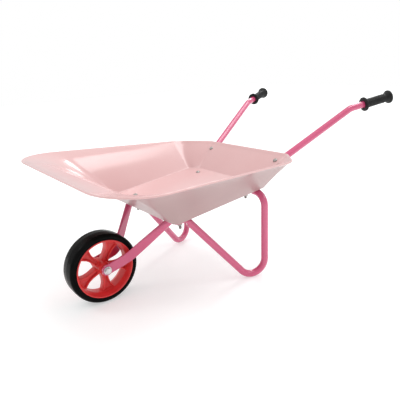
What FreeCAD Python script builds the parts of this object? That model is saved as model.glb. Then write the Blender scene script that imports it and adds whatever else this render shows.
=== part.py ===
import FreeCAD, Part
import math
import os
from FreeCAD import Vector

# A child's wheelbarrow: a pressed steel tray on two bent frame tubes, two bent tube legs
# bolted under it, and one plastic wheel with a solid rubber tyre between the flattened
# front ends of the tubes.
#
# Frame: origin on the ground under the middle of the barrow, +Z up, handles towards +Y,
# wheel towards -Y, +X to the left of a person who holds the handles and faces the wheel.
# Lengths are millimetres. A point is given by its side (X), its distance behind the axle
# and its height, and place() puts it into the frame.

# ---- driving dimensions ----
wheel_diameter = 150.0
axle_y = -310.7
tube_diameter = 16.0
tube_wall = 1.2
sheet = 1.3

# tray: floor and rim are flat outlines, each tilted a little
floor_height = 189.8
floor_slope = 0.1126
rim_height = 270.2
rim_slope = -0.0408
tray_middle = 234.4
floor_rear = 352.0
rim_rear = 417.0
hem_diameter = 4.0
contact_gap = 0.05
front_tube_drop = 0.75

# frame tubes
bolt_side = 87.0
front_bolt_reach = 142.0
rear_bolt_reach = 329.2
wall_bolt_side = 116.0
wall_bolt_reach = 400.3
handle_bend = (175.1, 593.7, 352.3)
grip_end = (212.1, 696.3, 373.2)
arm_bend_reach = 126.0
arm_kink = (52.0, 88.0)
arm_bend_radius = 18.0
floor_bend_radius = 40.0
wall_bend_radius = 70.0
handle_bend_radius = 45.0
kink_radius = 34.0
# how the round tube is pressed into the flat arm: share of the way, tall, wide
arm_pressing = ((0, 16, 16), (0.12, 17.4, 13.4), (0.3, 19, 9.8), (0.6, 21, 6), (0.88, 22.2, 3.9))

# legs
foot_side = 150.9
foot_bend_radius = 32.5
leg_slope = 49.0
leg_flat = 5.0
leg_flat_width = 22.0
leg_front_radius = 18.0
leg_top_radius = 28.0
leg_shoulder = 34.0
leg_shoulder_drop = 0.4
front_pad_gap = 0.6

# wheel and axle
tyre_width = 45.0
rim_outer_radius = 62.3
tyre_seat_radius = 59.0
hub_radius = 14.0
hub_half_length = 22.5
axle_diameter = 8.0
running_gap = 0.08
end_play = 0.4
arm_flat = 3.5
arm_flat_width = 22.5
spoke_count = 5
first_spoke_angle = 44.0
spoke_half_depth = 9.0
# left edge of a spoke that points up: distance from its middle, distance from the hub
spoke_edge = ((6.6, 10), (6, 30), (8, 42), (15.5, 56))
spacer_length = 3.1
spacer_radius = 9.0
washer_radius = 8.5
washer_thickness = 1.5
axle_head_height = 5.3
axle_nut_height = 8.0
axle_flats = 13.0
axle_thread_end = 2.5

# grips
grip_length = 76.0
grip_body_diameter = 21.0
grip_flange_diameter = 33.5
grip_tip_diameter = 31.6

# fasteners
bolt_diameter = 6.0
bolt_hole = 6.4
bolt_head_diameter = 11.0
bolt_head_height = 3.4
nut_across_flats = 10.0
nut_height = 5.5
front_bolt_length = 38.0
rear_bolt_length = 34.0
wall_bolt_length = 26.0

# ---- worked out from the dimensions above ----
wheel_radius = wheel_diameter / 2
tube_radius = tube_diameter / 2
arm_side = hub_half_length + end_play + spacer_length + arm_flat / 2
up = Vector(0, 0, 1)


def place(side, reach, height):
    """A point from its side, its distance behind the axle and its height."""
    return Vector(side, axle_y + reach, height)


def floor_at(reach):
    return floor_height + floor_slope * (reach - tray_middle)


def unit(vector):
    return Vector(vector).normalize()


def rim_at(reach):
    return rim_height + rim_slope * (reach - tray_middle)


def between(first, last, share):
    return first + (last - first) * share


# ---- shapes shared by several pieces ----
def rounded_corner(before, corner, after, radius):
    """Start, middle and end of the arc that rounds a corner."""
    back = unit(before - corner)
    ahead = unit(after - corner)
    half_angle = back.getAngle(ahead) / 2
    cut = radius / math.tan(half_angle)
    to_centre = unit(back + ahead)
    centre = corner + to_centre * (radius / math.sin(half_angle))
    return corner + back * cut, centre - to_centre * radius, corner + ahead * cut


def rounded_path(points, radii):
    """Straight runs through the points, joined by tangent arcs at the inner points."""
    edges = []
    start = points[0]
    for index in range(1, len(points) - 1):
        arc = rounded_corner(points[index - 1], points[index], points[index + 1], radii[index - 1])
        edges.append(Part.LineSegment(start, arc[0]).toShape())
        edges.append(Part.Arc(*arc).toShape())
        start = arc[2]
    edges.append(Part.LineSegment(start, points[-1]).toShape())
    return Part.Wire(edges)


def rounded_outline(points, radii):
    """Closed outline through the points, with every corner rounded."""
    count = len(points)
    arcs = []
    for index in range(count):
        after = points[(index + 1) % count]
        arcs.append(rounded_corner(points[index - 1], points[index], after, radii[index]))
    edges = []
    for index in range(count):
        edges.append(Part.Arc(*arcs[index]).toShape())
        edges.append(Part.LineSegment(arcs[index][2], arcs[(index + 1) % count][0]).toShape())
    return Part.Wire(edges)


def round_bar(path, radius):
    start = path.Edges[0]
    profile = Part.Wire(Part.makeCircle(radius, start.valueAt(start.FirstParameter),
                                        start.tangentAt(start.FirstParameter)))
    return path.makePipeShell([profile], True, False)


def tube_section(centre, along, tall_way, tall, wide):
    """Outline of a tube, round or pressed flat, square to the way that it runs."""
    along = unit(along)
    side = unit(along.cross(tall_way))
    rise = side.cross(along)
    turn = math.radians(45) * wide / tall
    corner_side = side * (wide / 2 * math.cos(turn))
    corner_rise = rise * (tall / 2 - wide / 2 * (1 - math.sin(turn)))
    middle_side = side * (wide / 2)
    middle_rise = rise * (tall / 2)
    corners = [corner_side - corner_rise, corner_side + corner_rise,
               corner_rise - corner_side, Vector() - corner_side - corner_rise]
    middles = [middle_side, middle_rise, Vector() - middle_side, Vector() - middle_rise]
    edges = []
    for index in range(4):
        last = corners[(index + 1) % 4]
        arc = Part.Arc(centre + corners[index], centre + middles[index], centre + last)
        edges.append(arc.toShape())
    return Part.Wire(edges)


def pressed_tube(sections):
    return Part.makeLoft([tube_section(*section) for section in sections], True, False)


def turned(points, centre, axis, across):
    """Solid of revolution: points give (distance along the axis, radius)."""
    corners = [centre + axis * along + across * radius for along, radius in points]
    outline = Part.makePolygon(corners + [corners[0]])
    return Part.Face(outline).revolve(centre, axis, 360)


def rod(centre, axis, radius, low, high):
    return Part.makeCylinder(radius, high - low, centre + unit(axis) * low, unit(axis))


def domed_bolt(seat, axis, length):
    """Bolt whose head stands on the seat; its shank runs against the axis."""
    head_radius = bolt_head_diameter / 2
    ball_radius = (head_radius ** 2 + bolt_head_height ** 2) / (2 * bolt_head_height)
    ball = Part.makeSphere(ball_radius, seat + axis * (bolt_head_height - ball_radius))
    head = ball.common(rod(seat, axis, head_radius * 2, 0, bolt_head_height * 2))
    return head.fuse(rod(seat, axis, bolt_diameter / 2, -length, 0.5)).removeSplitter()


def hex_prism(centre, axis, flats, low, high, across):
    side = unit(axis.cross(across))
    corners = []
    for index in range(7):
        angle = math.radians(60 * index)
        corners.append(centre + axis * low
                       + (side * math.cos(angle) + across * math.sin(angle)) * (flats / math.sqrt(3)))
    return Part.Face(Part.makePolygon(corners)).extrude(axis * (high - low))


def hex_nut(seat, axis, flats, height, bore):
    """Nut below its seat, with the corners of both faces turned off."""
    across = unit(axis.cross(Vector(1, 0, 0))) if abs(axis.x) < 0.9 else up
    prism = hex_prism(seat, axis, flats, -height, 0, across)
    corner = flats / math.sqrt(3)
    chamfer = corner - flats / 2
    blank = turned([(-height, 0), (-height, flats / 2), (chamfer / 2 - height, corner),
                    (-chamfer / 2, corner), (0, flats / 2), (0, 0)], seat, axis, across)
    return prism.common(blank).cut(rod(seat, axis, bore / 2, -height - 1, 1))


def one_solid(shape):
    """The one solid that a cut or a fuse leaves."""
    assert len(shape.Solids) == 1
    return shape.Solids[0]


def mirrored(shape):
    return shape.mirror(Vector(), Vector(1, 0, 0))


# ---- tray ----
tray_rises = (0, 0.2, 0.4, 0.6, 0.85, 0.95, 1)


def straight(rise):
    return rise


def scoop(rise):
    """The front wall starts steep and flattens towards the lip."""
    return 1 - math.sqrt(1 - rise)


def flare(rise):
    """The corners are tight at the floor and open out towards the rim."""
    return rise ** 1.5


# Corners of the left half of the tray, from the front to the rear. A value goes from the
# floor's to the rim's by its own law.
tray_corners = (
    {"side": (131, 201, scoop), "reach": (101, -78, scoop), "rounding": (10, 95, scoop)},
    {"side": (139, 255, scoop), "reach": (109, -16, scoop), "rounding": (10, 80, scoop)},
    {"side": (139, 203, straight), "reach": (341, 358, flare), "rounding": (9, 60, flare)},
    {"side": (113, 137, flare), "reach": (floor_rear, rim_rear, straight), "rounding": (9, 20, flare)},
)


def rear_wall_point(rise):
    """Point on the outside of the rear wall, in the middle of the barrow."""
    reach = between(floor_rear, rim_rear, rise)
    return place(0, reach, between(floor_at(reach), rim_at(reach), rise))


def tray_outline(rise):
    """Outline of the outside between the floor (0) and the rim (1)."""
    left = []
    radii = []
    for corner in tray_corners:
        value = {name: between(first, last, law(rise)) for name, (first, last, law) in corner.items()}
        reach = value["reach"]
        height = between(floor_at(reach), rim_at(reach), rise)
        left.append(place(value["side"], reach, height))
        radii.append(value["rounding"])
    right = [Vector(-point.x, point.y, point.z) for point in reversed(left)]
    return rounded_outline(left + right, radii + radii[::-1])


def tray_body():
    outlines = [tray_outline(rise) for rise in tray_rises]
    outside = Part.makeLoft(outlines, True, True)
    inside = outside.translated(up * sheet)
    return outside.cut(inside), outlines[-1]


def tray_shape(holes):
    body, rim = tray_body()
    hem_path = rim.translated(up * (sheet / 2))
    hem = round_bar(hem_path, hem_diameter / 2)
    tray = body.fuse(hem)
    for seat, axis in holes:
        tray = tray.cut(rod(seat, axis, bolt_hole / 2, -10, 10))
    return one_solid(tray)


# ---- frame tubes ----
floor_normal = unit(Vector(0, -floor_slope, 1))
wall_foot = rear_wall_point(0.6)
wall_head = rear_wall_point(0.85)
wall_normal = unit(Vector(1, 0, 0).cross(wall_head - wall_foot))
wall_share = (axle_y + wall_bolt_reach - wall_foot.y) / (wall_head.y - wall_foot.y)

front_bolt = place(bolt_side, front_bolt_reach, floor_at(front_bolt_reach))
rear_bolt = place(bolt_side, rear_bolt_reach, floor_at(rear_bolt_reach))
wall_bolt = between(wall_foot, wall_head, wall_share) + Vector(wall_bolt_side, 0, 0)
front_tube_point = front_bolt - up * (tube_radius + front_tube_drop)
rear_tube_point = rear_bolt - up * (tube_radius + leg_flat + 2 * contact_gap)
under_run = unit(rear_tube_point - front_tube_point)


def along_floor(reach):
    """Point on the middle line of the tube where it runs under the floor."""
    share = (reach - front_bolt_reach) / (rear_bolt_reach - front_bolt_reach)
    return between(front_tube_point, rear_tube_point, share)


wall_tube_point = wall_bolt - wall_normal * (tube_radius + contact_gap)
handle_point = place(*handle_bend)
handle_end = place(*grip_end)
grip_way = unit(handle_end - handle_point)
arm_start = along_floor(arm_bend_reach)
arm_kink_point = place(arm_side, *arm_kink)
hub_point = place(arm_side, 0, wheel_radius)


def frame_tube(holes):
    """Handle, run up the rear wall, run under the floor and flattened fork arm, in one tube."""
    arm_way = unit(arm_kink_point - arm_start)
    hub_way = unit(arm_kink_point - hub_point)
    round_end = arm_start + arm_way * 14
    flat_start = arm_kink_point - arm_way * 16
    rear_corner = along_floor(floor_rear + 3)
    tube_end = handle_end - grip_way * 5
    path = rounded_path([round_end, arm_start, rear_corner, wall_tube_point, handle_point, tube_end],
                        [arm_bend_radius, floor_bend_radius, wall_bend_radius, handle_bend_radius])
    tube = round_bar(path, tube_radius).cut(round_bar(path, tube_radius - tube_wall))

    flat_profile = tube_section(hub_point, hub_way, up, arm_flat_width, arm_flat)
    flat_path = rounded_path([hub_point, arm_kink_point, flat_start], [kink_radius])
    flat = flat_path.makePipeShell([flat_profile], True, False)
    tall_way = FreeCAD.Rotation(hub_way, arm_way * -1).multVec(up)
    sections = [(between(round_end, flat_start, share), arm_way, tall_way, tall, wide)
                for share, tall, wide in arm_pressing]
    sections.append((flat_start, arm_way, tall_way, arm_flat_width, arm_flat))
    transition = pressed_tube(sections)
    eye = rod(hub_point, Vector(1, 0, 0), arm_flat_width / 2, -arm_flat / 2, arm_flat / 2)
    tube = tube.fuse([transition, flat, eye])
    for seat, axis in holes:
        tube = tube.cut(rod(seat, axis, bolt_hole / 2, -40, 10))
    return one_solid(tube.cut(rod(hub_point, Vector(1, 0, 0), axle_diameter / 2 + 0.1, -10, 10)))


# ---- legs ----
def leg(holes):
    upright = place(foot_side, rear_bolt_reach, 0)
    front_pad = front_tube_point - up * (tube_radius + leg_flat / 2 + front_pad_gap)
    rear_pad = rear_bolt - up * (leg_flat / 2 + contact_gap)
    heading = unit(Vector(upright.x - front_pad.x, upright.y - front_pad.y, 0))
    lateral = unit(heading.cross(up))

    # the foot: a bend that turns the sloping run into the upright
    slope = math.radians(leg_slope)
    downhill = heading * math.cos(slope) - up * math.sin(slope)
    run_to_corner = foot_bend_radius * math.tan((math.radians(90) + slope) / 2)
    foot_corner = upright + up * (tube_radius + foot_bend_radius - run_to_corner)
    floor_way = unit(heading + up * (floor_slope * heading.y))
    # where the sloping run, drawn backwards from the foot, meets the run under the tube
    level = front_pad.z - foot_corner.z
    reach = (foot_corner - front_pad).dot(heading)
    climb = floor_way.z / floor_way.dot(heading)
    crossing = (reach * math.tan(slope) - level) / (math.tan(slope) + climb)
    top_corner = front_pad + floor_way * (crossing / floor_way.dot(heading))
    bend_start, bend_middle, bend_end = rounded_corner(front_pad, top_corner, foot_corner,
                                                       leg_front_radius)

    shoulder = Vector(rear_pad.x + leg_shoulder, rear_pad.y,
                      rear_pad.z + leg_flat / 2 - tube_radius - leg_shoulder_drop)
    upright_top = Vector(upright.x, upright.y, shoulder.z)
    path = rounded_path([bend_end, foot_corner, upright_top, shoulder],
                        [foot_bend_radius, leg_top_radius])
    tube = round_bar(path, tube_radius).cut(round_bar(path, tube_radius - tube_wall))

    inward = Vector(-1, 0, 0)
    flat_end = leg_flat_width / 2
    front_end = pressed_tube([
        (bend_end, downhill, lateral, tube_diameter, tube_diameter),
        (bend_middle, unit(floor_way + downhill), lateral, 19.8, 7.2),
        (bend_start, floor_way, lateral, 21.4, 5.8),
        (front_pad, floor_way, lateral, leg_flat_width, leg_flat)])
    rear_end = pressed_tube([
        (shoulder, inward, Vector(0, 1, 0), tube_diameter, tube_diameter),
        (between(shoulder, rear_pad, 0.25), inward, Vector(0, 1, 0), 17.6, 13),
        (between(shoulder, rear_pad, 0.62) + up * 1.2, inward, Vector(0, 1, 0), 21, 6.2),
        (rear_pad + Vector(8, 0, 0), inward, Vector(0, 1, 0), leg_flat_width, leg_flat),
        (rear_pad, inward, Vector(0, 1, 0), leg_flat_width, leg_flat)])
    front_eye = rod(front_pad, lateral.cross(floor_way), flat_end, -leg_flat / 2, leg_flat / 2)
    rear_eye = rod(rear_pad, up, flat_end, -leg_flat / 2, leg_flat / 2)
    shape = tube.fuse([front_end, rear_end, front_eye, rear_eye])
    for seat, axis in holes:
        shape = shape.cut(rod(seat, axis, bolt_hole / 2, -40, 10))
    return one_solid(shape)


# ---- grips ----
def grip():
    across = unit(grip_way.cross(up))
    start = handle_end - grip_way * grip_length
    flange = grip_flange_diameter / 2
    body = grip_body_diameter / 2
    tip = grip_tip_diameter / 2
    outside = [(0, body), (0.8, flange - 1.2), (2, flange), (4.5, flange), (5.8, flange - 1.4),
               (7.5, body + 1.5), (10, body), (grip_length - 14, body), (grip_length - 9, body + 1.2),
               (grip_length - 6, tip - 1), (grip_length - 4.5, tip), (grip_length - 2, tip),
               (grip_length - 0.6, tip - 1), (grip_length, tip - 3)]
    sleeve = turned(outside + [(grip_length, 0), (0, 0)], start, grip_way, across)
    bore = rod(start, grip_way, tube_radius + contact_gap, -1, grip_length - 5)
    return sleeve.cut(bore)


# ---- wheel ----
hub = place(0, 0, wheel_radius)
sideways = Vector(1, 0, 0)


def tyre():
    half = tyre_width / 2
    profile = [(-half + 1.6, tyre_seat_radius), (-half + 1.6, rim_outer_radius + 0.1),
               (-half, rim_outer_radius + 0.4), (-half, 67.6), (-half + 0.8, 70.8),
               (-half + 2.6, 73.4), (-half + 5.4, 74.7), (-half + 8, wheel_radius)]
    profile += [(-along, radius) for along, radius in reversed(profile)]
    return turned(profile, hub, sideways, up)


def wheel_rim():
    half = tyre_width / 2
    seat = tyre_seat_radius - 0.1
    band = [(-half - 0.3, rim_outer_radius), (-half + 1.5, rim_outer_radius), (-half + 1.5, seat),
            (half - 1.5, seat), (half - 1.5, rim_outer_radius), (half + 0.3, rim_outer_radius),
            (half + 0.3, 59.6), (9, 54), (-9, 54), (-half - 0.3, 59.6)]
    rim = turned(band, hub, sideways, up)
    rim = rim.fuse(rod(hub, sideways, hub_radius, -hub_half_length, hub_half_length))
    for index in range(spoke_count):
        rim = rim.fuse(spoke(first_spoke_angle + index * 360 / spoke_count))
    return one_solid(rim.cut(rod(hub, sideways, axle_diameter / 2 + running_gap, -40, 40)))


def spoke(angle):
    """One spoke: narrow in the middle, and wide where it flares into the band."""
    left = [(-half_width, along) for half_width, along in spoke_edge]
    right = [(half_width, along) for half_width, along in reversed(spoke_edge)]
    corners = [hub + Vector(-spoke_half_depth, wide, along) for wide, along in left + right]
    face = Part.Face(Part.makePolygon(corners + [corners[0]]))
    return face.extrude(Vector(2 * spoke_half_depth, 0, 0)).rotate(hub, sideways, angle)


# ---- axle ----
def axle_pieces():
    inner = hub_half_length + end_play
    outer = inner + spacer_length + arm_flat
    seat = outer + washer_thickness
    head_end = seat + axle_head_height
    thread_end = seat + axle_nut_height + axle_thread_end
    bolt = rod(hub, sideways, axle_diameter / 2, -thread_end, seat + 1)
    head = hex_prism(hub, sideways, axle_flats, seat, head_end, up)
    crown = turned([(seat, 0), (seat, 8), (seat + axle_head_height * 0.6, 8), (head_end, 5.4),
                    (head_end, 0)], hub, sideways, up)
    pieces = {
        "axle_bolt": bolt.fuse(head.common(crown)),
        "axle_nut": hex_nut(hub - sideways * seat, sideways, axle_flats, axle_nut_height,
                            axle_diameter + 0.1),
    }
    hole_radius = axle_diameter / 2 + 0.2
    gap = 0.02
    for name, sign in (("left", 1), ("right", -1)):
        way = sideways * sign
        spacer = rod(hub, way, spacer_radius, inner + gap, inner + spacer_length - gap)
        ring = rod(hub, way, washer_radius, outer + gap, seat - gap)
        hole = rod(hub, way, hole_radius, 0, seat + 1)
        pieces["axle_spacer_" + name] = spacer.cut(hole)
        pieces["axle_washer_" + name] = ring.cut(hole)
    return pieces


# ---- assembly ----
def nut_on_bolt(seat, axis, depth):
    return hex_nut(seat - axis * depth, axis, nut_across_flats, nut_height, bolt_diameter + 0.1)


head_lift = sheet + 0.02
front_stack = front_tube_drop + tube_diameter + front_pad_gap + leg_flat
rear_stack = tube_diameter + leg_flat + 2 * contact_gap
fasteners = {
    "front_floor": (front_bolt, floor_normal, front_bolt_length, front_stack + 0.35),
    "rear_floor": (rear_bolt, floor_normal, rear_bolt_length, rear_stack + 0.25),
    "rear_wall": (wall_bolt, wall_normal, wall_bolt_length, tube_diameter + 1.6),
}


def build():
    holes = [(seat, axis) for seat, axis, length, depth in fasteners.values()]
    floor_holes = holes[:2]
    tray_holes = []
    for seat, axis in holes:
        tray_holes += [(seat, axis), (Vector(-seat.x, seat.y, seat.z), axis)]
    pieces = {"tray": tray_shape(tray_holes), "tyre": tyre(), "wheel_rim": wheel_rim()}
    pieces.update(axle_pieces())
    pairs = {"frame_tube": frame_tube(holes), "leg": leg(floor_holes), "grip": grip()}
    for name, (seat, axis, length, depth) in fasteners.items():
        head_seat = seat + axis * (head_lift * axis.z)
        pairs[name + "_bolt"] = domed_bolt(head_seat, axis, length)
        pairs[name + "_nut"] = nut_on_bolt(seat, axis, depth)
    for name, shape in pairs.items():
        pieces[name + "_left"] = shape
        pieces[name + "_right"] = mirrored(shape)
    return pieces


os.makedirs("parts", exist_ok=True)
everything = build()
for name, shape in everything.items():
    shape.exportStep("parts/" + name + ".step")
    box = shape.BoundBox
    print("%-24s valid %s solids %d volume %9.0f  x %7.1f %7.1f  y %7.1f %7.1f  z %6.1f %6.1f" % (
        name, shape.isValid(), len(shape.Solids), shape.Volume,
        box.XMin, box.XMax, box.YMin, box.YMax, box.ZMin, box.ZMax))
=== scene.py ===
import math

import bmesh
import bpy
from mathutils import Matrix, Vector


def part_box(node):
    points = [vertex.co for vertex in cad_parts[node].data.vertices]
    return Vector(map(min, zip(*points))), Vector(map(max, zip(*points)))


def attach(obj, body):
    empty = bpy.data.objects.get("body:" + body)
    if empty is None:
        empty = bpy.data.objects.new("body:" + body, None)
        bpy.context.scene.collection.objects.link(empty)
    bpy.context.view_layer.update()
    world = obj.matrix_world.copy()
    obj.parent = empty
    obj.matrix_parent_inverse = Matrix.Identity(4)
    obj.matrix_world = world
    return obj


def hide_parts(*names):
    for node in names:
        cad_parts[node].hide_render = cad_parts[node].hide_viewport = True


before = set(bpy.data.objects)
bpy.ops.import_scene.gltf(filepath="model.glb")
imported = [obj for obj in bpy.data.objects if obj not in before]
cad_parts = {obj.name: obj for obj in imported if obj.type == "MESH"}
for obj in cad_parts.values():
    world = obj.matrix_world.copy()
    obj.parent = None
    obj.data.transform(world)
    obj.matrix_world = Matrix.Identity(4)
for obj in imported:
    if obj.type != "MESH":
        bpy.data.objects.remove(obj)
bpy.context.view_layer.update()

# A child's wheelbarrow: a pressed steel tray with a rolled hem, two bent tubes that are
# fork arm, floor rail and handle in one, two bent legs, a moulded wheel with a rubber tyre,
# rubber grips and zinc-plated bolts. Lengths are millimetres; a finished piece is scaled to
# metres. A "side" is a distance to the left of the middle and a "reach" one behind the axle.
MM = 0.001

# ---- places read from the frame ----
axle_y = (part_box("tyre")[0].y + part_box("tyre")[1].y) / 2 / MM
wheel_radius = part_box("tyre")[1].z / 2 / MM
hub = Vector((0, axle_y, wheel_radius))
across = Vector((1, 0, 0))
forward = Vector((0, -1, 0))
up = Vector((0, 0, 1))

# ---- tray ----
floor_height = 189.8
floor_slope = 0.1126
rim_height = 270.2
rim_slope = -0.0408
tray_middle = 234.4
sheet = 1.3
hem_radius = 2.0
hem_start, hem_step, hem_rings = -75, 16, 13
wall_rings = 22
corner_steps = 10
run_steps = 5
outside_floor_bend = 4.0
inside_floor_bend = 5.0

# ---- wheel ----
tyre_half = 22.5
seat_radius = 59.0
band_radius = 62.3
hub_radius = 14.0
axle_radius = 4.0
rim_edge = 0.3
hub_half = 22.5
spoke_count = 5
first_spoke = 44.0
spoke_half = 9.0
spoke_edge = ((-6.6, 12.5, 0), (-6.0, 30, 0), (-7.5, 40, 0), (-15.5, 56, 0))
waist_radius = 30.0
flare_radius = 14.0
rib_width = 2.6
rib_slope = 0.9
recess_depth = 6.0
wheel_steps = 144
hub_steps = 64

# ---- grips and tubes ----
tube_radius = 8.0
handle_bend = (175.1, 593.7, 352.3)
grip_end = (212.1, 696.3, 373.2)
grip_length = 76.0
grip_body = 10.2
grip_fit = 0.06
grip_steps = 72
pad_rows = 11
pads_round = 12
first_pad = 12.0
last_pad = grip_length - 18
pad_size = (2.7, 3.4, 1.4)
pad_sink = 0.3
pad_edge = 0.35

# ---- bolts and nuts ----
head_radius = 5.5
head_height = 3.4
shank_radius = 3.0
plain_share = 0.25
thread_pitch = 1.0
thread_depth = 0.35
cross_reach = 3.2
cross_half_width = 0.55
cross_depth = 1.3
nut_flats = 10.0
nut_height = 5.5
nut_chamfer = 0.55
bore_chamfer = 0.5
bolt_steps = 48
# kind of bolt, length under its head, depth of the nut below the seat
fastener_kinds = (("front_floor", 38.0, 22.70), ("rear_floor", 34.0, 21.35), ("rear_wall", 26.0, 17.60))

# ---- shared by all the pieces ----
rounding_steps = 5
merge_distance = 0.002


def place(side, reach, height):
    """A point from its side, its distance behind the axle and its height."""
    return Vector((side, axle_y + reach, height))


def between(first, last, share):
    """The value or point that lies at a share of the way from the first to the last."""
    return first + (last - first) * share


def floor_at(y):
    """Height of the tray's sloping floor."""
    return floor_height + floor_slope * (y - axle_y - tray_middle)


def rim_at(y):
    """Height of the tray's sloping rim."""
    return rim_height + rim_slope * (y - axle_y - tray_middle)


# ================= mesh helpers =================
def arc_points(before, corner, after, radius, steps):
    """Points of the arc that rounds a corner, from one tangent point to the other."""
    back = (before - corner).normalized()
    ahead = (after - corner).normalized()
    half_angle = back.angle(ahead) / 2
    cut = radius / math.tan(half_angle)
    centre = corner + (back + ahead).normalized() * (radius / math.sin(half_angle))
    start = corner + back * cut - centre
    end = corner + ahead * cut - centre
    turn = start.angle(end)
    axis = start.cross(end)
    return [centre + Matrix.Rotation(turn * step / steps, 3, axis) @ start
            for step in range(steps + 1)]


def profile(*corners, closed=False):
    """Outline in the plane of a turned part: each corner is (along, radius, rounding)."""
    points = [Vector((along, radius, 0)) for along, radius, rounding in corners]
    last = len(points) - 1
    line = []
    for index, (_, _, rounding) in enumerate(corners):
        is_end = not closed and index in (0, last)
        if rounding == 0 or is_end:
            line.append(points[index])
        else:
            line += arc_points(points[index - 1], points[index], points[(index + 1) % len(points)],
                               rounding, rounding_steps)
    return line


def both_sides(half):
    """Corners of a half outline, followed by the same corners mirrored to the other side."""
    return half + [(-along, radius, rounding) for along, radius, rounding in reversed(half)]


def turned(shape, line, centre, axis, steps, closed=False):
    """Spins a profile about an axis; a closed profile makes a ring."""
    side = axis.orthogonal().normalized()
    verts = [shape.verts.new(centre + axis * point.x + side * point.y) for point in line]
    pairs = list(zip(verts, verts[1:]))
    if closed:
        pairs.append((verts[-1], verts[0]))
    edges = [shape.edges.new(pair) for pair in pairs]
    bmesh.ops.spin(shape, geom=verts + edges, cent=centre, axis=axis, dvec=(0, 0, 0),
                   angle=math.tau, steps=steps, use_merge=True, use_duplicate=False)
    return shape


def ring_of(shape, points):
    """A closed ring of new vertices and edges."""
    ring = [shape.verts.new(point) for point in points]
    for index, vert in enumerate(ring):
        shape.edges.new((ring[index - 1], vert))
    return ring


def extruded_ring(shape, ring, points):
    """Extrudes a ring and moves the new one onto the points."""
    edges = [shape.edges.get((ring[index - 1], vert)) for index, vert in enumerate(ring)]
    made = set(bmesh.ops.extrude_edge_only(shape, edges=edges)["geom"])
    fresh = []
    for vert, point in zip(ring, points):
        follower = next(edge.other_vert(vert) for edge in vert.link_edges
                        if edge.other_vert(vert) in made)
        follower.co = point
        fresh.append(follower)
    return fresh


def filled(shape, ring):
    """Closes a ring with one face."""
    edges = [shape.edges.get((ring[index - 1], vert)) for index, vert in enumerate(ring)]
    return bmesh.ops.contextual_create(shape, geom=edges)["faces"]


def plate(shape, corners, half_thickness, plate_axes, centre):
    """Flat outline pulled up to a solid plate; returns its two big faces, low one first."""
    normal, wide, tall = plate_axes
    low = [shape.verts.new(centre + normal * -half_thickness + wide * point.x + tall * point.y)
           for point in corners]
    face = shape.faces.new(low)
    pulled = bmesh.ops.extrude_face_region(shape, geom=[face], use_keep_orig=True)["geom"]
    verts = [part for part in pulled if isinstance(part, bmesh.types.BMVert)]
    bmesh.ops.translate(shape, verts=verts, vec=normal * (2 * half_thickness))
    top = next(part for part in pulled if isinstance(part, bmesh.types.BMFace))
    return face, top


def rounded_edges(shape, edges, width, segments):
    """Rounds edges over a width on each side of them."""
    bmesh.ops.bevel(shape, geom=edges, offset=width, offset_type="OFFSET", affect="EDGES",
                    segments=segments, profile=0.5, material=-1, clamp_overlap=True)


def sharp_edges(shape, degrees):
    """The edges whose faces turn by more than an angle."""
    limit = math.radians(degrees)
    return [edge for edge in shape.edges if edge.is_manifold and edge.calc_face_angle(0) > limit]


def made_piece(name, shape, paints, body, slot, *stands_for, crease=40):
    """Finishes a shape as a piece that rides on a body and stands in for plain nodes."""
    bmesh.ops.remove_doubles(shape, verts=shape.verts, dist=merge_distance)
    bmesh.ops.scale(shape, verts=shape.verts, vec=(MM, MM, MM))
    bmesh.ops.recalc_face_normals(shape, faces=shape.faces)
    mesh = bpy.data.meshes.new(name)
    shape.to_mesh(mesh)
    shape.free()
    for finish in paints:
        mesh.materials.append(finish)
    mesh.shade_smooth()
    mesh.set_sharp_from_angle(angle=math.radians(crease))
    piece = bpy.data.objects.new(name, mesh)
    bpy.context.scene.collection.objects.link(piece)
    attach(piece, body)
    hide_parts(*stands_for)


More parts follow.
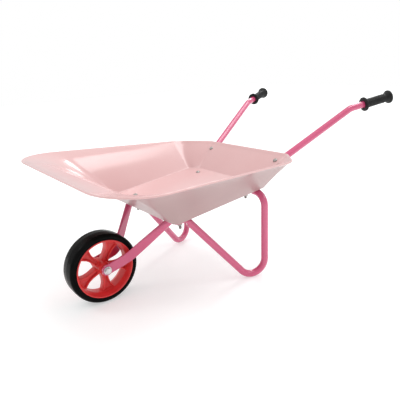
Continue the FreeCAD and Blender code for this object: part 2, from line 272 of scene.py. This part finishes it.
# ================= finishes =================
class Finish:
    """A material under construction: a few words for the nodes that every finish here uses."""

    def __init__(self, name):
        self.material = bpy.data.materials.new(name)
        self.material.use_nodes = True
        self.nodes = self.material.node_tree.nodes
        self.links = self.material.node_tree.links
        self.shader = self.nodes["Principled BSDF"]
        self.place = self.nodes.new("ShaderNodeTexCoord").outputs["Object"]
        self.height = None

    def join(self, source, target):
        self.links.new(source, target)

    def stretched(self, scale):
        """The place on the piece, scaled along each axis, for a drawn-out pattern."""
        mapping = self.nodes.new("ShaderNodeMapping")
        mapping.inputs["Scale"].default_value = scale
        self.join(self.place, mapping.inputs["Vector"])
        return mapping.outputs["Vector"]

    def noise(self, scale, detail, source=None):
        node = self.nodes.new("ShaderNodeTexNoise")
        node.inputs["Scale"].default_value = scale
        node.inputs["Detail"].default_value = detail
        self.join(source or self.place, node.inputs["Vector"])
        return node.outputs["Fac"]

    def cells(self, scale):
        node = self.nodes.new("ShaderNodeTexVoronoi")
        node.inputs["Scale"].default_value = scale
        self.join(self.place, node.inputs["Vector"])
        return node.outputs["Distance"]

    def spread(self, value, low, high, start=0.3, end=0.7):
        """Stretches the middle of a pattern over a range."""
        node = self.nodes.new("ShaderNodeMapRange")
        node.inputs["From Min"].default_value = start
        node.inputs["From Max"].default_value = end
        node.inputs["To Min"].default_value = low
        node.inputs["To Max"].default_value = high
        self.join(value, node.inputs["Value"])
        return node.outputs["Result"]

    def blend(self, share, first, second):
        """Mixes two colours by a pattern."""
        node = self.nodes.new("ShaderNodeMix")
        node.data_type = "RGBA"
        self.join(share, node.inputs["Factor"])
        node.inputs["A"].default_value = (*first, 1)
        node.inputs["B"].default_value = (*second, 1)
        return node.outputs["Result"]

    def relief(self, value, depth):
        """Adds a height, in millimetres, on top of what is there."""
        node = self.nodes.new("ShaderNodeBump")
        node.inputs["Distance"].default_value = depth * MM
        self.join(value, node.inputs["Height"])
        if self.height:
            self.join(self.height, node.inputs["Normal"])
        self.height = node.outputs["Normal"]
        self.join(self.height, self.shader.inputs["Normal"])

    def colour(self, source):
        self.join(source, self.shader.inputs["Base Color"])

    def rough(self, source):
        self.join(source, self.shader.inputs["Roughness"])

    def fixed(self, **values):
        """Values that are the same all over the surface."""
        for name, value in values.items():
            self.shader.inputs[name.replace("_", " ")].default_value = value


def enamel(name, light, deep, roughness, coat):
    """Sprayed and baked enamel: a faint cloudiness in the colour and orange peel in the gloss."""
    finish = Finish(name)
    cloud = finish.spread(finish.noise(9, detail=3), 0, 1)
    finish.colour(finish.blend(cloud, light, deep))
    finish.rough(finish.spread(finish.noise(30, detail=2), roughness - 0.01, roughness + 0.01))
    finish.relief(finish.noise(60, detail=0), 0.0008)
    finish.fixed(Coat_Weight=coat, Coat_Roughness=0.12, IOR=1.5)
    return finish.material


def moulded_plastic():
    """Red polypropylene with a fine matt spark texture from its mould."""
    finish = Finish("wheel_plastic_finish")
    cloud = finish.spread(finish.noise(35, detail=3), 0, 1)
    finish.colour(finish.blend(cloud, (0.74, 0.040, 0.040), (0.62, 0.026, 0.028)))
    finish.rough(finish.spread(finish.noise(300, detail=3), 0.30, 0.46))
    finish.relief(finish.noise(1500, detail=2), 0.02)
    finish.fixed(Subsurface_Weight=0.06, Subsurface_Scale=0.004, IOR=1.48)
    return finish.material


def tyre_rubber():
    """Moulded black rubber, with a slight bloom and the sheen of a new tyre."""
    finish = Finish("tyre_rubber_finish")
    bloom = finish.spread(finish.noise(28, detail=5), 0, 1, 0.4, 0.75)
    finish.colour(finish.blend(bloom, (0.003, 0.003, 0.003), (0.006, 0.006, 0.006)))
    finish.rough(finish.spread(finish.noise(70, detail=5), 0.16, 0.26))
    finish.relief(finish.noise(700, detail=3), 0.02)
    finish.relief(finish.noise(60, detail=2), 0.06)
    finish.fixed(IOR=1.12)
    return finish.material


def grip_rubber():
    """Soft matt black rubber with a grained skin."""
    finish = Finish("grip_rubber_finish")
    bloom = finish.spread(finish.noise(90, detail=4), 0, 1)
    finish.colour(finish.blend(bloom, (0.006, 0.0065, 0.0065), (0.014, 0.015, 0.015)))
    finish.rough(finish.spread(finish.noise(180, detail=4), 0.42, 0.60))
    finish.relief(finish.cells(900), 0.05)
    finish.relief(finish.noise(1800, detail=2), 0.02)
    finish.fixed(IOR=1.32)
    return finish.material


def zinc_plating(name, bright, cloudy, low, high):
    """Zinc-plated steel: fine drawn lines and a cloudy passivated gloss."""
    finish = Finish(name)
    cloud = finish.spread(finish.noise(120, detail=4), 0, 1)
    finish.colour(finish.blend(cloud, bright, cloudy))
    finish.rough(finish.spread(finish.noise(260, detail=4), low, high))
    finish.relief(finish.noise(900, detail=2, source=finish.stretched((0.15, 1, 1))), 0.01)
    finish.fixed(Metallic=1.0)
    return finish.material


# Painted shade: the tray's outside faces get a darker copy of its pink enamel, though the sheet has the
# same paint on both sides. This copy is also rougher and less glossy.
tray_outside_painted_shade = enamel("tray_outside_painted_shade_finish", (0.440, 0.290, 0.285), (0.405, 0.265, 0.260), 0.36,
                        0.15)
tray_paint = enamel("tray_paint_finish", (0.680, 0.425, 0.420), (0.660, 0.400, 0.395), 0.25, 0.6)
frame_paint = enamel("frame_paint_finish", (0.620, 0.086, 0.205), (0.575, 0.066, 0.172), 0.26, 0.9)
wheel_red = moulded_plastic()
tyre_black = tyre_rubber()
grip_black = grip_rubber()
bright_zinc = zinc_plating("bright_zinc_finish", (0.70, 0.705, 0.72), (0.56, 0.56, 0.555), 0.22, 0.40)
dull_zinc = zinc_plating("dull_zinc_finish", (0.42, 0.40, 0.385), (0.30, 0.285, 0.27), 0.34, 0.52)


# ================= tray =================
def straight(rise):
    """An even slope from the floor to the rim."""
    return rise


def scoop(rise):
    """The front wall starts steep and flattens towards the lip."""
    return 1 - math.sqrt(1 - rise)


def flare(rise):
    """The rear corners are tight at the floor and open out towards the rim."""
    return rise ** 1.5


# Corners of the left half of the tray, from the front to the rear. A value goes from the
# floor's to the rim's by its own law as the wall rises.
tray_corners = (
    {"side": (131, 201, scoop), "reach": (101, -78, scoop), "rounding": (10, 95, scoop)},
    {"side": (139, 255, scoop), "reach": (109, -16, scoop), "rounding": (10, 80, scoop)},
    {"side": (139, 203, straight), "reach": (341, 358, flare), "rounding": (9, 60, flare)},
    {"side": (113, 137, flare), "reach": (352, 417, straight), "rounding": (9, 20, flare)},
)


def tray_outline(rise):
    """Points round the tray between its floor (0) and its rim (1)."""
    half = []
    for corner in tray_corners:
        value = {name: between(first, last, law(rise))
                 for name, (first, last, law) in corner.items()}
        point = place(value["side"], value["reach"], 0)
        point.z = between(floor_at(point.y), rim_at(point.y), rise)
        half.append((point, value["rounding"]))
    corners = half + [(Vector((-point.x, point.y, point.z)), rounding)
                      for point, rounding in reversed(half)]
    arcs = []
    for index, (point, rounding) in enumerate(corners):
        after = corners[(index + 1) % len(corners)][0]
        arcs.append(arc_points(corners[index - 1][0], point, after, rounding, corner_steps))
    ring = []
    for index, arc in enumerate(arcs):
        following = arcs[(index + 1) % len(arcs)][0]
        ring += arc
        ring += [between(arc[-1], following, step / run_steps) for step in range(1, run_steps)]
    return ring


def tray_rises():
    """Heights of the rings: close together in the bend at the floor and near the lip."""
    rises = [0]
    for step in range(1, wall_rings + 1):
        share = step / wall_rings
        rises.append(share ** 1.25 * (1 - 0.12 * share * (1 - share)))
    return rises


def hem_ring(rim, angle):
    """A ring on the rolled hem, turned about the rim by an angle from straight down inside."""
    count = len(rim)
    ring = []
    for index, point in enumerate(rim):
        along = (rim[(index + 1) % count] - rim[index - 1]).normalized()
        outward = along.cross(up).normalized()
        centre = point + up * (sheet / 2)
        ring.append(centre + (outward * math.cos(angle) + up * math.sin(angle)) * hem_radius)
    return ring


def tray():
    """One closed sheet: up the outside, round the rolled hem and down the inside."""
    shape = bmesh.new()
    rises = tray_rises()
    outline = [tray_outline(rise) for rise in rises]
    rim = outline[-1]
    ring = ring_of(shape, outline[0])
    outside_floor = filled(shape, ring)
    for points in outline[1:-1]:
        ring = extruded_ring(shape, ring, points)
    outside = set(shape.faces)
    for step in range(hem_rings):
        ring = extruded_ring(shape, ring, hem_ring(rim, math.radians(hem_start + hem_step * step)))
    for points in reversed(outline[:-1]):
        ring = extruded_ring(shape, ring, [point + up * sheet for point in points])
    inside_floor = filled(shape, ring)
    # Painted shade: the outside faces take the darker copy of the paint (slot 1); the inside faces take
    # the tray paint (slot 0).
    for face in shape.faces:
        face.material_index = 1 if face in outside else 0
    for faces, width in ((outside_floor, outside_floor_bend), (inside_floor, inside_floor_bend)):
        rounded_edges(shape, list(faces[0].edges), width, segments=4)
    return shape


made_piece("tray_pressing", tray(), (tray_paint, tray_outside_painted_shade), "frame", "tray_paint", "tray",
           crease=50)


# ================= wheel =================
def tyre():
    """Solid tyre: tread with a mould line, round shoulders and a raised sidewall bead."""
    half = [
        (tyre_half - 1.6, seat_radius, 0), (tyre_half - 1.6, band_radius + 0.1, 0.3),
        (tyre_half - 0.3, band_radius + 0.5, 0.6), (tyre_half, 64.8, 1.0),
        (tyre_half - 0.5, 65.4, 0.3), (tyre_half, 66.0, 0.5), (tyre_half, wheel_radius - 0.5, 8.0),
        (0.5, wheel_radius - 0.15, 0.3), (0.3, wheel_radius, 0.1),
    ]
    line = profile(*both_sides(half), closed=True)
    return turned(bmesh.new(), line, hub, across, wheel_steps, closed=True)


def wheel_centre():
    """Moulded wheel: dished band, five channel spokes and a collared hub."""
    shape = bmesh.new()
    edge = tyre_half + rim_edge
    half_band = [
        (tyre_half - 1.5, seat_radius - 0.1, 0), (tyre_half - 1.5, band_radius, 0.4),
        (edge, band_radius, 0.8), (edge, 59.8, 0.8), (tyre_half - 2.5, 58.4, 1.5), (10, 54.4, 6.0),
    ]
    turned(shape, profile(*both_sides(half_band), closed=True), hub, across, wheel_steps, closed=True)
    half_hub = [
        (hub_half, axle_radius + 0.1, 0.3), (hub_half, 8.6, 0.6), (20.8, 8.9, 0.5),
        (20.5, 12.6, 0.8), (17, 13.4, 1.0), (9, hub_radius, 1.5),
    ]
    turned(shape, profile(*both_sides(half_hub), closed=True), hub, across, hub_steps, closed=True)
    for index in range(spoke_count):
        spoke(shape, math.radians(first_spoke + index * 360 / spoke_count))
    return shape


def spoke(shape, angle):
    """A spoke that flares into the band; both faces are recessed to leave two ribs and a web."""
    turn = Matrix.Rotation(angle, 3, across)
    foot, waist, swell, tip = (Vector(point) for point in spoke_edge)
    left = [foot]
    left += arc_points(foot, waist, swell, waist_radius, 4)
    left += arc_points(waist, swell, tip, flare_radius, 5)
    left.append(tip)
    outline = left + [Vector((-point.x, point.y, 0)) for point in reversed(left)]
    earlier = set(shape.edges)
    plate_axes = (across, turn @ Vector((0, 1, 0)), turn @ up)
    faces = plate(shape, outline, spoke_half, plate_axes, hub)
    for face, inwards in zip(faces, (1, -1)):
        for width in (rib_width, rib_slope):
            bmesh.ops.inset_region(shape, faces=[face], thickness=width, depth=0, use_even_offset=True)
        bmesh.ops.translate(shape, verts=face.verts, vec=across * (inwards * recess_depth))
    fresh = [edge for edge in sharp_edges(shape, 50) if edge not in earlier]
    rounded_edges(shape, fresh, 0.6, segments=2)


made_piece("tyre_solid_rubber", tyre(), (tyre_black,), "wheel", "tyre_rubber", "tyre")
made_piece("wheel_moulding", wheel_centre(), (wheel_red,), "wheel", "wheel_plastic", "wheel_rim")


# ================= grips =================
def grip(side):
    """Rubber grip: ring at the open end, a ribbed body and a mushroom end."""
    handle_point = place(*handle_bend)
    handle_end = place(*grip_end)
    way = (handle_end - handle_point).normalized()
    start = handle_end - way * grip_length
    if side < 0:
        way.x = -way.x
        start.x = -start.x
    bore = tube_radius + grip_fit
    corners = [
        (6, bore, 0), (1.4, bore, 0.4), (0, 9.6, 0.8), (0, 13.6, 1.0),
        (1.2, 16.6, 1.6), (5.2, 16.6, 1.6), (6.6, 12.6, 1.5), (9.5, grip_body, 2.0),
        (grip_length - 15, grip_body, 8.0), (grip_length - 8, 13.2, 3.0), (grip_length - 5.6, 15.7, 1.0),
        (grip_length - 1.6, 15.7, 1.4), (grip_length - 0.1, 12.6, 2.0), (grip_length, 0, 0),
    ]
    shape = bmesh.new()
    turned(shape, profile(*corners), start, way, grip_steps)
    ribbed_body(shape, start, way)
    return shape


def ribbed_body(shape, start, way):
    """Raised pads round the body, in rows that are set half a pad apart."""
    pitch = (last_pad - first_pad) / pad_rows
    side = way.orthogonal().normalized()
    ahead = way.cross(side)
    for row in range(pad_rows):
        for pad in range(pads_round):
            angle = math.tau * (pad + row % 2 / 2) / pads_round
            outward = side * math.cos(angle) + ahead * math.sin(angle)
            along = first_pad + pitch * (row + 0.5)
            centre = start + way * along + outward * (grip_body - pad_sink)
            turn = Matrix((way, way.cross(outward), outward)).transposed().to_4x4()
            made = bmesh.ops.create_cube(shape, size=1)["verts"]
            seated = Matrix.Translation(centre) @ turn @ Matrix.Diagonal((*pad_size, 1))
            bmesh.ops.transform(shape, verts=made, matrix=seated)
            edges = {edge for vert in made for edge in vert.link_edges}
            rounded_edges(shape, list(edges), pad_edge, segments=2)


for side, name in ((1, "left"), (-1, "right")):
    made_piece("grip_sleeve_" + name, grip(side), (grip_black,), "frame", "grip_rubber", "grip_" + name)


# ================= bolts and nuts =================
floor_normal = Vector((0, -floor_slope, 1)).normalized()


def threaded(head_end, thread_end):
    """Half outline of a shank: plain by the head, grooved towards its end."""
    corners = [(head_end, shank_radius, 0)]
    plain = head_end + (thread_end - head_end) * plain_share
    turns = int(abs(thread_end - plain) / thread_pitch)
    step = (thread_end - plain) / turns
    for turn in range(turns):
        along = plain + step * turn
        corners += [(along, shank_radius, 0), (along + step * 0.5, shank_radius - thread_depth, 0)]
    corners += [(thread_end, shank_radius - 0.8, 0), (thread_end, 0, 0)]
    return corners


def domed_bolt(seat, axis, length):
    """A bolt whose domed head, with a cross in it, stands on its seat."""
    shape = bmesh.new()
    head = [(head_height, 0, 0), (head_height - 0.25, 2.6, 1.2), (head_height - 1.3, 4.6, 1.5),
            (0.5, head_radius - 0.1, 0.3), (0, head_radius, 0.2), (0, shank_radius, 0)]
    turned(shape, profile(*head, *threaded(-0.2, -length)), seat, axis, bolt_steps)
    level = up if abs(axis.z) < 0.9 else forward
    cross_recess(shape, seat + axis * head_height, axis, axis.cross(level).normalized())
    return shape


def cross_recess(shape, top, axis, side):
    """Pushes the middle of the head down in the form of a cross."""
    other = axis.cross(side)
    for vert in shape.verts:
        offset = vert.co - top
        if offset.dot(axis) > -1.4 and offset.length < cross_reach:
            if min(abs(offset.dot(side)), abs(offset.dot(other))) < cross_half_width:
                vert.co -= axis * (cross_depth * (1 - offset.length / 3.4))


def round_ring(verts, radius, height):
    """Points straight inwards from a ring of vertices, on a circle at a height."""
    return [Vector((vert.co.x, vert.co.y, 0)).normalized() * radius + up * height for vert in verts]


def hex_nut(seat, axis):
    """Hexagon below its seat, its corners turned off at both faces, bored right through."""
    shape = bmesh.new()
    corner = nut_flats / math.sqrt(3)
    bmesh.ops.create_cone(shape, cap_ends=False, segments=6, radius1=corner, radius2=corner,
                          depth=nut_height)
    level = [edge for edge in shape.edges
             if abs(edge.verts[0].co.z - edge.verts[1].co.z) < 0.01]
    bmesh.ops.subdivide_edges(shape, edges=level, cuts=7, use_grid_fill=False)
    half = nut_height / 2
    rims = {1: [], -1: []}
    for vert in shape.verts:
        rims[1 if vert.co.z > 0 else -1].append(vert)
    for sign, verts in rims.items():
        for vert in verts:
            beyond = math.hypot(vert.co.x, vert.co.y) - nut_flats / 2
            vert.co.z = sign * (half - beyond * nut_chamfer)
    for sign, verts in rims.items():
        ring = sorted(verts, key=lambda vert: math.atan2(vert.co.y, vert.co.x))
        for radius, height in ((nut_flats / 2 - 0.1, half), (shank_radius + bore_chamfer, half),
                               (shank_radius, half - bore_chamfer)):
            ring = extruded_ring(shape, ring, round_ring(ring, radius, sign * height))
    edges = [edge for edge in shape.edges if edge.is_boundary]
    bmesh.ops.bridge_loops(shape, edges=edges)
    spin = axis.to_track_quat("Z", "Y").to_matrix().to_4x4()
    seated = Matrix.Translation(seat - axis * half) @ spin
    bmesh.ops.transform(shape, verts=shape.verts, matrix=seated)
    return shape


def middle_of(name):
    low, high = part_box(name)
    return (low + high) / 2 / MM


def left_nut(kind):
    """Middle of the left nut of a pair, and the way that the head of its bolt points."""
    nut = middle_of(kind + "_nut_left")
    if kind == "rear_wall":
        return nut, (middle_of(kind + "_bolt_left") - nut).normalized()
    return nut, floor_normal


for kind, length, depth in fastener_kinds:
    nut, axis = left_nut(kind)
    for sign, name in ((1, "left"), (-1, "right")):
        way = Vector((axis.x * sign, axis.y, axis.z))
        nut_seat = Vector((nut.x * sign, nut.y, nut.z)) + way * (nut_height / 2)
        seat = nut_seat + way * (depth + sheet * way.z)
        made_piece(kind + "_domed_bolt_" + name, domed_bolt(seat, way, length), (dull_zinc,), "frame",
                   "zinc_steel", kind + "_bolt_" + name)
        made_piece(kind + "_hex_nut_" + name, hex_nut(nut_seat, way), (dull_zinc,), "frame",
                   "zinc_steel", kind + "_nut_" + name)


# ================= paint on the tubes, plating on the small parts =================
node_paints = {
    "frame_tube": frame_paint, "leg": frame_paint, "axle": bright_zinc, "front_floor": dull_zinc,
    "rear_floor": dull_zinc, "rear_wall": dull_zinc, "tray": tray_paint, "tyre": tyre_black,
    "wheel_rim": wheel_red, "grip": grip_black,
}
for name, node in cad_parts.items():
    for start, paint in node_paints.items():
        if name.startswith(start):
            node.data.materials.clear()
            node.data.materials.append(paint)


# ================= floor, light and camera =================
floor_half_size = 6.0
camera_place = (0.7950, -0.6427, 0.4684)
camera_azimuth = math.radians(53.05)
camera_elevation = math.radians(17.26)
camera_roll = math.radians(-2.62)
camera_lens = 39.35
sensor_width = 36.0


def studio_floor():
    """A broad pale floor, a little bright of itself so that the shadows stay soft."""
    shape = bmesh.new()
    bmesh.ops.create_grid(shape, x_segments=1, y_segments=1, size=floor_half_size)
    mesh = bpy.data.meshes.new("studio_floor")
    shape.to_mesh(mesh)
    shape.free()
    finish = Finish("studio_floor_paint")
    tone = finish.spread(finish.noise(3, detail=2), 0, 1)
    finish.colour(finish.blend(tone, (0.64, 0.65, 0.65), (0.66, 0.67, 0.67)))
    finish.fixed(Roughness=0.8, Emission_Color=(1, 1, 1, 1), Emission_Strength=0.42)
    mesh.materials.append(finish.material)
    floor = bpy.data.objects.new("studio_floor", mesh)
    bpy.context.scene.collection.objects.link(floor)


def studio_world(dark, bright, towards):
    """White surroundings; the light that they give fades away from a direction."""
    world = bpy.data.worlds.new("studio_world")
    world.use_nodes = True
    nodes, links = world.node_tree.nodes, world.node_tree.links
    seen = nodes["Background"]
    seen.inputs["Color"].default_value = (1, 1, 1, 1)
    lit = nodes.new("ShaderNodeBackground")
    lit.inputs["Color"].default_value = (1, 1, 1, 1)
    facing = nodes.new("ShaderNodeVectorMath")
    facing.operation = "DOT_PRODUCT"
    facing.inputs[1].default_value = Vector(towards).normalized()
    links.new(nodes.new("ShaderNodeTexCoord").outputs["Generated"], facing.inputs[0])
    fade = nodes.new("ShaderNodeMapRange")
    fade.interpolation_type = "SMOOTHSTEP"
    fade.inputs["From Min"].default_value = -0.7
    fade.inputs["From Max"].default_value = 0.6
    fade.inputs["To Min"].default_value = dark
    fade.inputs["To Max"].default_value = bright
    links.new(facing.outputs["Value"], fade.inputs["Value"])
    links.new(fade.outputs["Result"], lit.inputs["Strength"])
    mix = nodes.new("ShaderNodeMixShader")
    links.new(nodes.new("ShaderNodeLightPath").outputs["Is Camera Ray"], mix.inputs["Fac"])
    links.new(lit.outputs["Background"], mix.inputs[1])
    links.new(seen.outputs["Background"], mix.inputs[2])
    links.new(mix.outputs["Shader"], nodes["World Output"].inputs["Surface"])
    bpy.context.scene.world = world


def far_softbox(name, direction, light, spread):
    """Even light from a large far softbox; spread is how wide it looks, in degrees."""
    lamp = bpy.data.lights.new(name, "SUN")
    lamp.energy = light
    lamp.angle = math.radians(spread)
    source = bpy.data.objects.new(name, lamp)
    source.rotation_mode = "QUATERNION"
    source.rotation_quaternion = (-Vector(direction)).to_track_quat("-Z", "Y")
    bpy.context.scene.collection.objects.link(source)


def studio_camera():
    """A camera on its azimuth and elevation, rolled slightly about its line of sight."""
    level = math.cos(camera_elevation)
    back = Vector((math.sin(camera_azimuth) * level, -math.cos(camera_azimuth) * level,
                   math.sin(camera_elevation)))
    right = (-back).cross(up).normalized()
    above = right.cross(-back)
    side_axis = right * math.cos(camera_roll) + above * math.sin(camera_roll)
    up_axis = above * math.cos(camera_roll) - right * math.sin(camera_roll)
    lens = bpy.data.cameras.new("studio_camera")
    lens.sensor_width = sensor_width
    lens.lens = camera_lens
    camera = bpy.data.objects.new("studio_camera", lens)
    camera.matrix_world = (Matrix.Translation(camera_place)
                           @ Matrix((side_axis, up_axis, back)).transposed().to_4x4())
    bpy.context.scene.collection.objects.link(camera)
    bpy.context.scene.camera = camera


studio_floor()
studio_world(0.46, 0.86, (0.1, 0.2, 1.0))
far_softbox("top_softbox", (0.14, 0.26, 0.95), 0.95, 30)
far_softbox("key_softbox", (-0.46, -0.53, 0.71), 0.45, 16)
far_softbox("back_softbox", (-0.40, 0.62, 0.66), 0.50, 14)
far_softbox("wall_softbox", (0.50, 0.57, 0.65), 0.32, 20)
studio_camera()
bpy.context.scene.view_settings.view_transform = "Standard"
